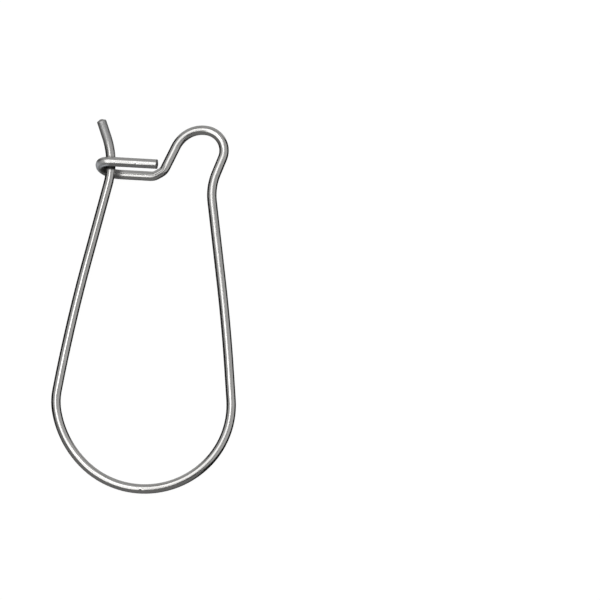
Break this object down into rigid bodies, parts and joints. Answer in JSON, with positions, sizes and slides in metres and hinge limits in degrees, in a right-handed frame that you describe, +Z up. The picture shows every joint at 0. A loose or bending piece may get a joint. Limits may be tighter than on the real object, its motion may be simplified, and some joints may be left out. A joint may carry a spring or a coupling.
{
  "type": "kidney ear wire",
  "caption": "Round steel wire bent into a long pear-shaped loop with an ear hump, its post leg held shut by the wire's own turned-back hook.",
  "frame": {"origin": "centre of the bounding box in plan, at the height of the surface that the wire lies on", "axes": "+Y from the bow to the hump, +X from the post side to the ear side, +Z up from the surface, towards the side that the post leg springs to"},
  "size_m": [0.0158, 0.0316, 0.0032],
  "materials": {
    "steel_wire": "bright drawn stainless steel wire, neutral grey, with fine lengthwise drawing lines and small tool marks at the bends"
  },
  "bodies": {
    "root": {"ear_wire": "steel_wire"}
  },
  "joints": []
}
